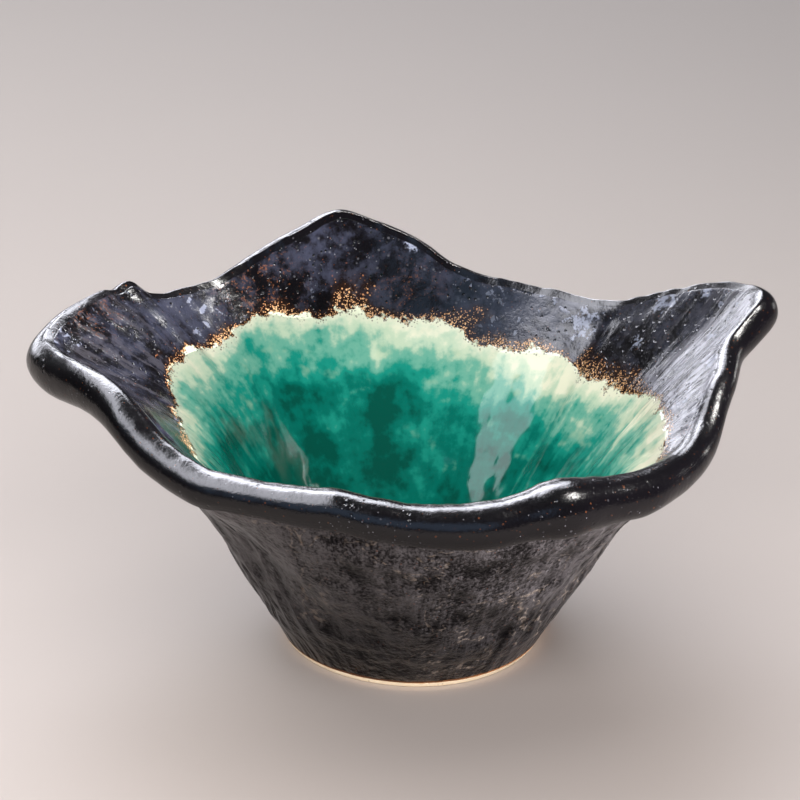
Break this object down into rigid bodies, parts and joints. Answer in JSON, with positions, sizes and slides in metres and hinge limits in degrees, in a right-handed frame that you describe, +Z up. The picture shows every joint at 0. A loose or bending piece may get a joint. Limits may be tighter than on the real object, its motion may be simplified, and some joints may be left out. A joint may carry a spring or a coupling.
{
  "type": "ceramic bowl",
  "caption": "Hand-formed stoneware side bowl with a thick rolled lip, two drawn-out ears, a pointed back, a deep glazed well and a plain round foot.",
  "frame": {"origin": "middle of the bowl's outline, in the plane the foot stands on", "axes": "+X towards the right ear, +Y towards the pointed back, +Z up"},
  "size_m": [0.1602, 0.1208, 0.0762],
  "materials": {
    "bare_clay": "unglazed, matt",
    "black_glaze": "satin to glossy glaze",
    "green_glaze": "glossy glaze"
  },
  "bodies": {
    "root": {"stoneware_body": "bare_clay", "foot_ring": "bare_clay", "black_glaze_coat": "black_glaze", "green_glaze_coat": "green_glaze", "base_glaze": "black_glaze"}
  },
  "joints": []
}
